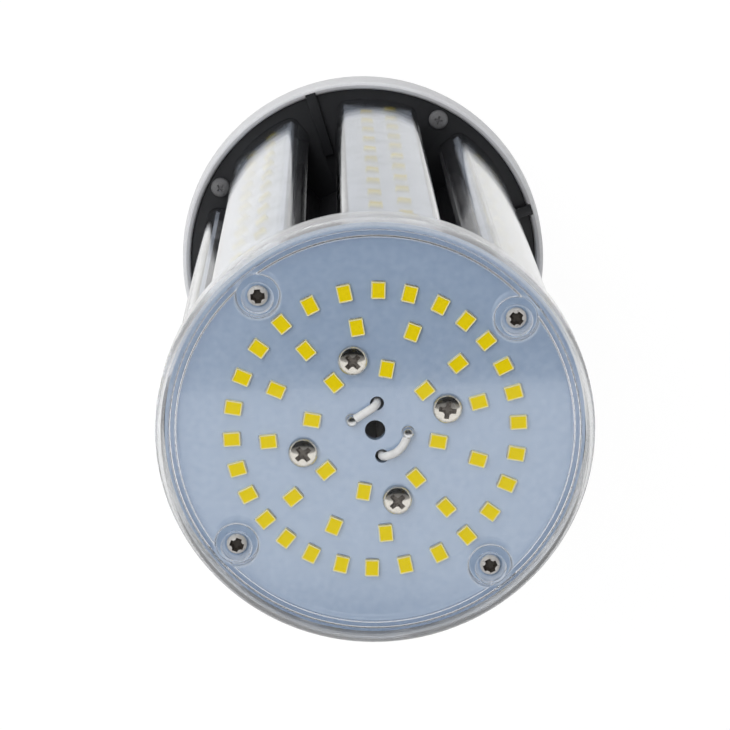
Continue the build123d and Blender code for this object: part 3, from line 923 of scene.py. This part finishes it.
def screw(head, head_height, shank, length, wing_length, wing_width, wing_depth):
    """One screw: its head on the origin's plane, its shank below, its recess in the second finish, which
    paints the recess's shade.
    """
    brim = head_height * head_brim
    dome = [(x, brim + (head_height - brim) * z) for x, z in arc((0, 0), 1, pi / 2, 0, dome_steps)]
    thread = []
    pitch = shank * screw_pitch
    for number in range(int((length - screw_thread_spare) / pitch)):
        crest_z = -screw_thread_start - number * pitch
        thread += [(shank, crest_z), (shank * screw_root, crest_z - pitch / 2)]
    outline = [(head * x, z) for x, z in dome]
    outline += [(head, brim * head_foot_lift), (head * head_foot, 0), (shank, 0)]
    outline += thread + [(shank * screw_tip, -length), (0, -length)]
    body = turned(outline, closed=False, steps=screw_steps)
    for turn in (0, pi / 2):
        body = combined(body, cross_arm(turn, head_height, wing_length, wing_width, wing_depth), "DIFFERENCE")
    socket = bmesh.new()
    bmesh.ops.create_cone(
        socket,
        cap_ends=True,
        segments=socket_steps,
        radius1=wing_width * socket_foot * mm,
        radius2=wing_width * socket_mouth * mm,
        depth=(wing_depth + recess_spare) * mm,
        matrix=Matrix.Translation((0, 0, (head_height + (recess_spare - wing_depth) / 2) * mm)),
    )
    body = combined(body, socket, "DIFFERENCE")
    # The recess faces take the second finish, a dark colour that paints the shade in the recess.
    for face in body.faces:
        middle = face.calc_center_median() / mm
        reach = middle.xy.length
        if reach < wing_length / 2 and 0 < middle.z < dome_height(reach, head, head_height) - recess_edge:
            face.material_index = 1
    return body


def screw_places(circle, seat_z, start_turn, spins):
    """The places of four screws, each turned by its own amount."""
    places = on_circle(circle, seat_z, start_turn)
    return [place @ Matrix.Rotation(radians(spin), 4, "Z") for place, spin in zip(places, spins)]


pan_screw = screw(machine_head, machine_head_height, machine_shank, machine_length, *machine_recess)
small_screw = screw(small_head, small_head_height, small_shank, small_length, *small_recess)
plate_screw = screw(housing_head, housing_head_height, machine_shank, machine_length, *housing_recess)
gap_turn = column_turn / 2
cap_screw_z = disc_front_z + boss_floor
lamp_piece(
    "disc_pan_screws",
    repeated(pan_screw, screw_places(disc_screw_circle, disc_front_z, -gap_turn, disc_screw_spins)),
    [bright_screw, painted_recess_shade],
    ["disc_screws"],
)
lamp_piece(
    "cap_cross_screws",
    repeated(small_screw, screw_places(boss_circle, cap_screw_z, 0, cap_screw_spins)),
    [cap_screw_metal, deep_recess_painted_shade],
    ["cap_screws"],
)
lamp_piece(
    "housing_pan_screws",
    repeated(plate_screw, screw_places(housing_screw_circle, plate_z, gap_turn, housing_screw_spins)),
    [steel_screw, steel_screw],
    ["housing_screws"],
)


# Leads of the disc and their solder joints

def lead_piece(name, route, node):
    """A smooth wire along a given route."""
    line = bpy.data.curves.new(name, "CURVE")
    line.dimensions = "3D"
    line.bevel_depth = lead_radius * mm
    line.bevel_resolution = lead_facets
    line.resolution_u = lead_steps
    line.use_fill_caps = True
    spline = line.splines.new("NURBS")
    spline.points.add(len(route) - 1)
    for point, place in zip(spline.points, route):
        point.co = (*place, 1)
    spline.order_u = 3
    spline.use_endpoint_u = True
    guide = bpy.data.objects.new(name, line)
    bpy.context.scene.collection.objects.link(guide)
    shape = bmesh.new()
    mesh = bpy.data.meshes.new_from_object(guide.evaluated_get(bpy.context.evaluated_depsgraph_get()))
    shape.from_mesh(mesh)
    bpy.data.meshes.remove(mesh)
    bpy.data.objects.remove(guide)
    bpy.data.curves.remove(line)
    lamp_piece(name, shape, [white_wire], [node])


lead_rest_z = disc_front_z + lead_radius + lead_lift
joints = []
for name, node, turn, joint_spot, bow in (
    ("positive_disc_lead", "positive_lead", positive_turn, positive_joint, 0),
    ("negative_disc_lead", "negative_lead", negative_turn, negative_joint, negative_bow),
):
    joint = polar(joint_spot[0], radians(joint_spot[1]), lead_rest_z)
    foot = polar(lead_ring_radius, radians(turn), board_top_z)
    exit_point = polar(lead_ring_radius, radians(turn), disc_front_z - lead_straight)
    top = polar(lead_ring_radius, radians(turn), lead_rest_z + lead_crest)
    run = joint - top
    outward = Vector((run.y, -run.x, 0)).normalized() * bow * mm
    middle = top + run * lead_bend + outward
    end = joint + (middle - joint).normalized() * joint_radius * joint_entry * mm
    lead_piece(name, [foot, (foot + exit_point) / 2, exit_point, top, middle, end], node)
    joints.append(joint)


def solder_ball():
    """One joint on the origin's plane: a flared foot, a waist and a dome."""
    squash = (joint_height - joint_belt) / joint_radius
    dome = arc((0, joint_belt), joint_radius, 0, pi / 2, joint_dome_steps)
    dome = [(x, joint_belt + (z - joint_belt) * squash) for x, z in dome]
    dome[-1] = (0, joint_height)
    foot = [(0, 0), (joint_radius * joint_foot, 0), (joint_radius * joint_waist, joint_waist_height)]
    return turned(foot + dome, closed=False, steps=joint_steps)


joint_places = [Matrix.Translation((joint.x, joint.y, disc_front_z * mm)) for joint in joints]
lamp_piece("solder_balls", repeated(solder_ball(), joint_places), [solder], ["solder_joints"])


# Wires that feed the strips, two to a column

feed_tip_z = plate_z + feed_rise
feed_wire = turned(
    [(0, board_top_z), (feed_radius, board_top_z)]
    + arc((0, feed_tip_z - feed_radius), feed_radius, 0, pi / 2, feed_tip_steps),
    closed=False,
    steps=feed_steps,
)
feed_places = [
    Matrix.Rotation(number * column_turn, 4, "Z")
    @ Matrix.Translation(Vector((strip_front + feed_radius, side * feed_spread, 0)) * mm)
    for number in range(column_count)
    for side in (-1, 1)
]
lamp_piece(
    "strip_feed_wires",
    repeated(feed_wire, feed_places),
    [black_insulator],
    ["strip_leads"],
)


# Mounting plate: a dark disc with four raised keys, drilled for the screws and the wires

def mounting_plate():
    """The plate with its keys on and its holes through."""
    plate = turned(
        [
            (plate_bore_radius, plate_z),
            (plate_radius, plate_z),
            (plate_radius, plate_z - plate_thickness),
            (plate_bore_radius, plate_z - plate_thickness),
        ]
    )
    soften(plate, [(plate_radius, plate_z)], key_edge, fine_edge_steps)
    key = bmesh.new()
    add_block(key, key_end - key_start, key_width, 2 * rim_lip, Matrix.Identity(4))
    rounded(key, key.edges[:], key_edge, edge_steps)
    plate = combined(plate, repeated(key, on_circle((key_start + key_end) / 2, plate_z, -gap_turn)), "UNION")
    hole_top = plate_z + cut_spare
    hole_foot = plate_z - plate_thickness - cut_spare
    for radius, places in (
        (plate_hole_radius, on_circle(housing_screw_circle, 0, gap_turn)),
        (plate_hole_radius, on_circle(boss_circle, 0, column_turn)),
        (feed_radius + feed_spare, feed_places),
    ):
        outline = [(0, hole_top), (radius, hole_top), (radius, hole_foot), (0, hole_foot)]
        drill = turned(outline, closed=False, steps=hole_steps)
        plate = combined(plate, repeated(drill, places), "DIFFERENCE")
    return plate


lamp_piece("keyed_plate", mounting_plate(), [dark_plate], ["mounting_plate"], housing_crease)


# Driver housing: a bowl with four notches and a rounded rim, whose inner lip has painted shade

def housing():
    """The bowl from its rim to its neck, with painted shade on the lip's faces, darker the more they lean
    inwards.
    """
    shoulder_z = rim_z - body_height
    shoulder_middle = (housing_radius - shoulder_radius, shoulder_z)
    inner_shoulder = shoulder_radius - housing_wall
    ledge_z = plate_z - plate_thickness
    outline = [(rim_inner_radius, rim_z), (rim_radius, rim_z)]
    outline += arc(shoulder_middle, shoulder_radius, 0, -shoulder_sweep, shoulder_steps)
    neck_middle = (neck_radius + neck_curve_radius, neck_height)
    outline += arc(neck_middle, neck_curve_radius, pi - shoulder_sweep, pi, neck_curve_steps)
    outline += [
        (neck_radius, 0),
        (neck_bore_radius, 0),
        (neck_bore_radius, holder_top_z),
        (holder_bore_radius, holder_top_z),
        (holder_bore_radius, holder_top_z + holder_seat),
    ]
    outline += arc(shoulder_middle, inner_shoulder, -shoulder_sweep, 0, inner_shoulder_steps)
    outline += [(housing_radius - housing_wall, ledge_z), (rim_inner_radius, ledge_z)]
    bowl = turned(outline)
    soften(bowl, [(rim_inner_radius, rim_z)], rim_inner_round, rim_inner_steps)
    soften(bowl, [(rim_radius, rim_z)], rim_outer_round, rim_outer_steps)
    soften(bowl, [(neck_radius, 0)], neck_edge, edge_steps)
    notch = bmesh.new()
    add_block(notch, notch_end - key_start, notch_width, 2 * rim_lip, Matrix.Identity(4))
    notches = repeated(notch, on_circle((key_start + notch_end) / 2, rim_z, -gap_turn))
    bowl = combined(bowl, notches, "DIFFERENCE")
    # Painted shade: the lip's inward faces take darker tones, the more so the more they lean inwards
    for face in bowl.faces:
        middle = face.calc_center_median() / mm
        inward = face.normal.xy.dot(middle.xy) < 0
        if inward and middle.z > plate_z and middle.xy.length < rim_inner_radius + rim_inner_round:
            face.material_index = sum(face.normal.z < step for step in lip_shade_steps)
    return bowl


lamp_piece(
    "bowl_housing",
    housing(),
    [housing_plastic, *painted_shade_lip_finishes],
    ["driver_housing"],
    housing_crease,
)


# Screw base: the rolled shell, the ring that holds it, the insulator and the centre contact

def threaded_shell():
    """A thin shell with a rounded thread that fades out at both ends."""
    outline = [(shell_radius, -thread_length * row / thread_rows) for row in range(thread_rows + 1)]
    shell = turned(outline, closed=False, steps=thread_steps)
    for vert in shell.verts:
        turn = Vector((1, 0)).angle_signed(vert.co.xy, 0)
        height = -vert.co.z / mm
        fade = min(1, height / thread_fade_in, (thread_length - height) / thread_fade_out)
        wave = (1 + cos(full_turn * height / thread_pitch - turn)) / 2
        radius = shell_radius - thread_depth * (fade * wave + (1 - fade) / 2)
        vert.co.xy *= radius * mm / vert.co.xy.length
    low = min(vert.co.z for vert in shell.verts)
    foot = [edge for edge in shell.edges if all(abs(vert.co.z - low) < merge_gap * mm for vert in edge.verts)]
    taper = bmesh.ops.extrude_edge_only(shell, edges=foot)
    ring = [part for part in taper["geom"] if isinstance(part, bmesh.types.BMVert)]
    drop = shell_end_z + thread_length
    bmesh.ops.translate(shell, vec=(0, 0, drop * mm), verts=ring)
    for vert in ring:
        vert.co.xy *= shell_end_radius * mm / vert.co.xy.length
    bmesh.ops.recalc_face_normals(shell, faces=shell.faces)
    sample = shell.faces[:][0]
    if sample.normal.xy.dot(sample.calc_center_median().xy) < 0:
        bmesh.ops.reverse_faces(shell, faces=shell.faces)
    bmesh.ops.solidify(shell, geom=shell.faces[:], thickness=shell_wall * mm)
    return shell


lamp_piece("threaded_shell", threaded_shell(), [plated_shell], ["screw_shell"], thread_crease)

holder_radius = shell_radius - thread_depth - shell_wall - holder_spare
holder = turned(
    [
        (holder_bore_radius, holder_low_z),
        (holder_radius, holder_low_z),
        (holder_radius, 0),
        (neck_bore_radius - holder_spare, 0),
        (neck_bore_radius - holder_spare, holder_top_z),
        (holder_bore_radius, holder_top_z),
    ]
)
soften(holder, [(holder_radius, holder_low_z), (holder_bore_radius, holder_low_z)], holder_edge, edge_steps)
lamp_piece("slim_shell_holder", holder, [housing_plastic], ["shell_holder"])

contact_seat_z = contact_tip_z + contact_height
plug_top_z = shell_end_z + insulator_plug_length
plug_radius = shell_end_radius - shell_wall - plug_spare
insulator = turned(
    [
        (insulator_bore_radius, plug_top_z),
        (plug_radius, plug_top_z),
        (plug_radius, shell_end_z),
        (shell_end_radius, shell_end_z),
        (insulator_tip_radius, contact_seat_z),
        (insulator_bore_radius, contact_seat_z),
    ]
)
soften(insulator, [(shell_end_radius, shell_end_z), (insulator_tip_radius, contact_seat_z)], insulator_edge)
lamp_piece("black_insulator", insulator, [black_insulator], ["base_insulator"])

contact = turned(
    [
        (0, plug_top_z),
        (rivet_radius, plug_top_z),
        (rivet_radius, contact_seat_z),
        (contact_radius, contact_seat_z),
        (contact_radius, contact_tip_z),
        (0, contact_tip_z),
    ],
    closed=False,
)
soften(contact, [(contact_radius, contact_tip_z)], contact_edge, contact_edge_steps)
soften(contact, [(contact_radius, contact_seat_z)], contact_seat_edge, fine_edge_steps)
lamp_piece("contact_button", contact, [contact_metal], ["center_contact"])


# Studio: the floor, cards that only mirrors and clear pieces see, soft light and the camera

def seen_rays(tree):
    """A value that is 1 for what the camera sees, directly, mirrored or through clear pieces."""
    rays = tree.nodes.new("ShaderNodeLightPath").outputs
    mirrored = worked_out(tree, "MAXIMUM", rays["Is Camera Ray"], rays["Is Glossy Ray"])
    return worked_out(tree, "MAXIMUM", mirrored, rays["Is Transmission Ray"])


def stage_plane(name, matrix, finish):
    """A flat sheet of the studio, which isn't a piece of the lamp."""
    mesh = bpy.data.meshes.new(name)
    shape = bmesh.new()
    shape.loops.layers.uv.new()
    bmesh.ops.create_grid(shape, x_segments=1, y_segments=1, size=0.5, matrix=matrix, calc_uvs=True)
    shape.to_mesh(mesh)
    shape.free()
    mesh.materials.append(finish)
    plane = bpy.data.objects.new(name, mesh)
    bpy.context.scene.collection.objects.link(plane)
    return plane


def floor_finish():
    """White paint that glows a little where it is seen."""
    finish, paint = new_finish("white floor")
    tree = finish.node_tree
    paint.inputs["Base Color"].default_value = (floor_paint, floor_paint, floor_paint, 1)
    paint.inputs["Roughness"].default_value = floor_rough
    glow = tree.nodes.new("ShaderNodeEmission")
    glow.inputs["Strength"].default_value = floor_glow
    show(tree, worked_out(tree, "MULTIPLY", seen_rays(tree), floor_glow_share), paint, glow)
    return finish


def card_finish(name):
    """A glowing finish for a card, with its node tree, its tone and the place on the card."""
    finish, shader = new_finish(name)
    tree = finish.node_tree
    tree.nodes.remove(shader)
    tone = tree.nodes.new("ShaderNodeEmission")
    place = tree.nodes.new("ShaderNodeTexCoord")
    tree.links.new(tone.outputs["Emission"], tree.nodes["Material Output"].inputs["Surface"])
    return finish, tree, tone, place.outputs["UV"]


def banded_card(name, tones, depth, width):
    """A card whose tone changes with the distance from its near edge and from its middle."""
    finish, tree, tone, place = card_finish(name)
    split = tree.nodes.new("ShaderNodeSeparateXYZ")
    ramp = tree.nodes.new("ShaderNodeValToRGB")
    steps = ramp.color_ramp.elements
    while len(steps) < len(tones):
        steps.new(1.0)
    for step, (distance, level) in zip(steps, tones):
        step.position = distance / depth
        step.color = (level, level, level, 1)
    across, along = split.outputs["X"], split.outputs["Y"]
    aside = worked_out(tree, "ABSOLUTE", worked_out(tree, "SUBTRACT", across, 0.5))
    lift = tree.nodes.new("ShaderNodeMapRange")
    lift.interpolation_type = "SMOOTHSTEP"
    lift.inputs["From Min"].default_value = card_side_near / width
    lift.inputs["From Max"].default_value = card_side_far / width
    side_range = (card_side_start / depth, card_side_end / depth)
    ranged(finish, along, lift.inputs["To Max"], card_side_tone, 0, *side_range)
    tree.links.new(place, split.inputs["Vector"])
    tree.links.new(along, ramp.inputs["Fac"])
    tree.links.new(aside, lift.inputs["Value"])
    total = worked_out(tree, "MAXIMUM", ramp.outputs["Color"], lift.outputs["Result"])
    tree.links.new(total, tone.inputs["Strength"])
    return finish


def fading_card(name, level):
    """A card of one tone that fades out towards its edges."""
    finish, tree, tone, place = card_finish(name)
    tone.inputs["Color"].default_value = (level, level, level, 1)
    mapping = tree.nodes.new("ShaderNodeMapping")
    mapping.inputs["Location"].default_value = (-1, -1, 0)
    mapping.inputs["Scale"].default_value = (2, 2, 1)
    falloff = tree.nodes.new("ShaderNodeTexGradient")
    falloff.gradient_type = "SPHERICAL"
    spread = tree.nodes.new("ShaderNodeMapRange")
    spread.interpolation_type = "SMOOTHSTEP"
    spread.inputs["From Max"].default_value = card_fade
    tree.links.new(place, mapping.inputs["Vector"])
    tree.links.new(mapping.outputs["Vector"], falloff.inputs["Vector"])
    tree.links.new(falloff.outputs["Fac"], spread.inputs["Value"])
    show(tree, spread.outputs["Result"], tree.nodes.new("ShaderNodeBsdfTransparent"), tone)
    return finish


def card_place(height, near, far, width, tilt=0.0):
    """The place of a level card that runs from near to far up the picture."""
    middle = Vector((0, 0, height * mm)) + picture_up * (near + far) / 2 * mm
    turn = Matrix.Rotation(tilt - picture_turn, 4, "Z")
    return Matrix.Translation(middle) @ turn @ Matrix.Diagonal((width * mm, abs(far - near) * mm, 1, 1))


stage_plane(
    "floor",
    Matrix.Translation((0, 0, contact_tip_z * mm)) @ Matrix.Diagonal((floor_side, floor_side, 1, 1)),
    floor_finish(),
)
lit_point = Vector((0, 0, led_top_z * mm))
card_edge = card_edge_on_cap - card_above * card_edge_slope
card_z = cap_top_z + card_above
floor_card_z = contact_tip_z + floor_card_lift
cards = [
    stage_plane(
        "dark_card",
        card_place(card_z, card_edge, card_edge + card_depth, card_width, card_tilt),
        banded_card("banded card", card_tones, card_depth, card_width),
    ),
    stage_plane(
        "shade_card",
        card_place(card_z, shade_near, shade_far, shade_width),
        fading_card("shade card", shade_level),
    ),
    stage_plane(
        "grey_card",
        card_place(floor_card_z, grey_card_near, grey_card_far, grey_card_width),
        fading_card("grey card", grey_card_level),
    ),
    stage_plane(
        "front_card",
        card_place(floor_card_z, front_card_near, front_card_far, front_card_width),
        fading_card("front card", front_card_level),
    ),
]
for card in cards:
    card.visible_camera = False
    card.visible_diffuse = False
    card.visible_shadow = False


def studio_world():
    """Soft light from all round, and a white backdrop where the world is seen."""
    world = bpy.data.worlds.new("studio")
    world.use_nodes = True
    tree = world.node_tree
    soft_light = tree.nodes["Background"]
    backdrop = tree.nodes.new("ShaderNodeBackground")
    for light, level in ((soft_light, soft_level), (backdrop, backdrop_level)):
        light.inputs["Color"].default_value = (1, 1, 1, 1)
        light.inputs["Strength"].default_value = level
    show(tree, seen_rays(tree), soft_light, backdrop, "World Output")
    return world


def softbox(name, across, up, above, power):
    """A square soft light that looks at the lit end."""
    light = bpy.data.lights.new(name, "AREA")
    light.shape = "SQUARE"
    light.size = softbox_side
    light.energy = power
    lamp = bpy.data.objects.new(name, light)
    lamp.location = lit_point + picture_right * across + picture_up * up + Vector((0, 0, above))
    lamp.rotation_euler = (lit_point - lamp.location).to_track_quat("-Z", "Y").to_euler()
    lamp.visible_glossy = False
    lamp.visible_transmission = False
    bpy.context.scene.collection.objects.link(lamp)


bpy.context.scene.world = studio_world()
for name, spot, power in softboxes:
    softbox(name, *spot, power)

camera_data = bpy.data.cameras.new("picture camera")
camera_data.lens = focal_px / image_side_px * camera_data.sensor_width
camera = bpy.data.objects.new("picture_camera", camera_data)
bpy.context.scene.collection.objects.link(camera)
offset = picture_right * camera_across + picture_up * camera_up + Vector((0, 0, camera_above))
place = lit_point + offset * mm
aim = lit_point + (picture_right * aim_across + picture_up * aim_up) * mm
back = (place - aim).normalized()
right = picture_up.cross(back).normalized()
up = back.cross(right)
camera.matrix_world = Matrix.Translation(place) @ Matrix((right, up, back)).transposed().to_4x4()
bpy.context.scene.camera = camera
bpy.context.scene.view_settings.view_transform = "Standard"
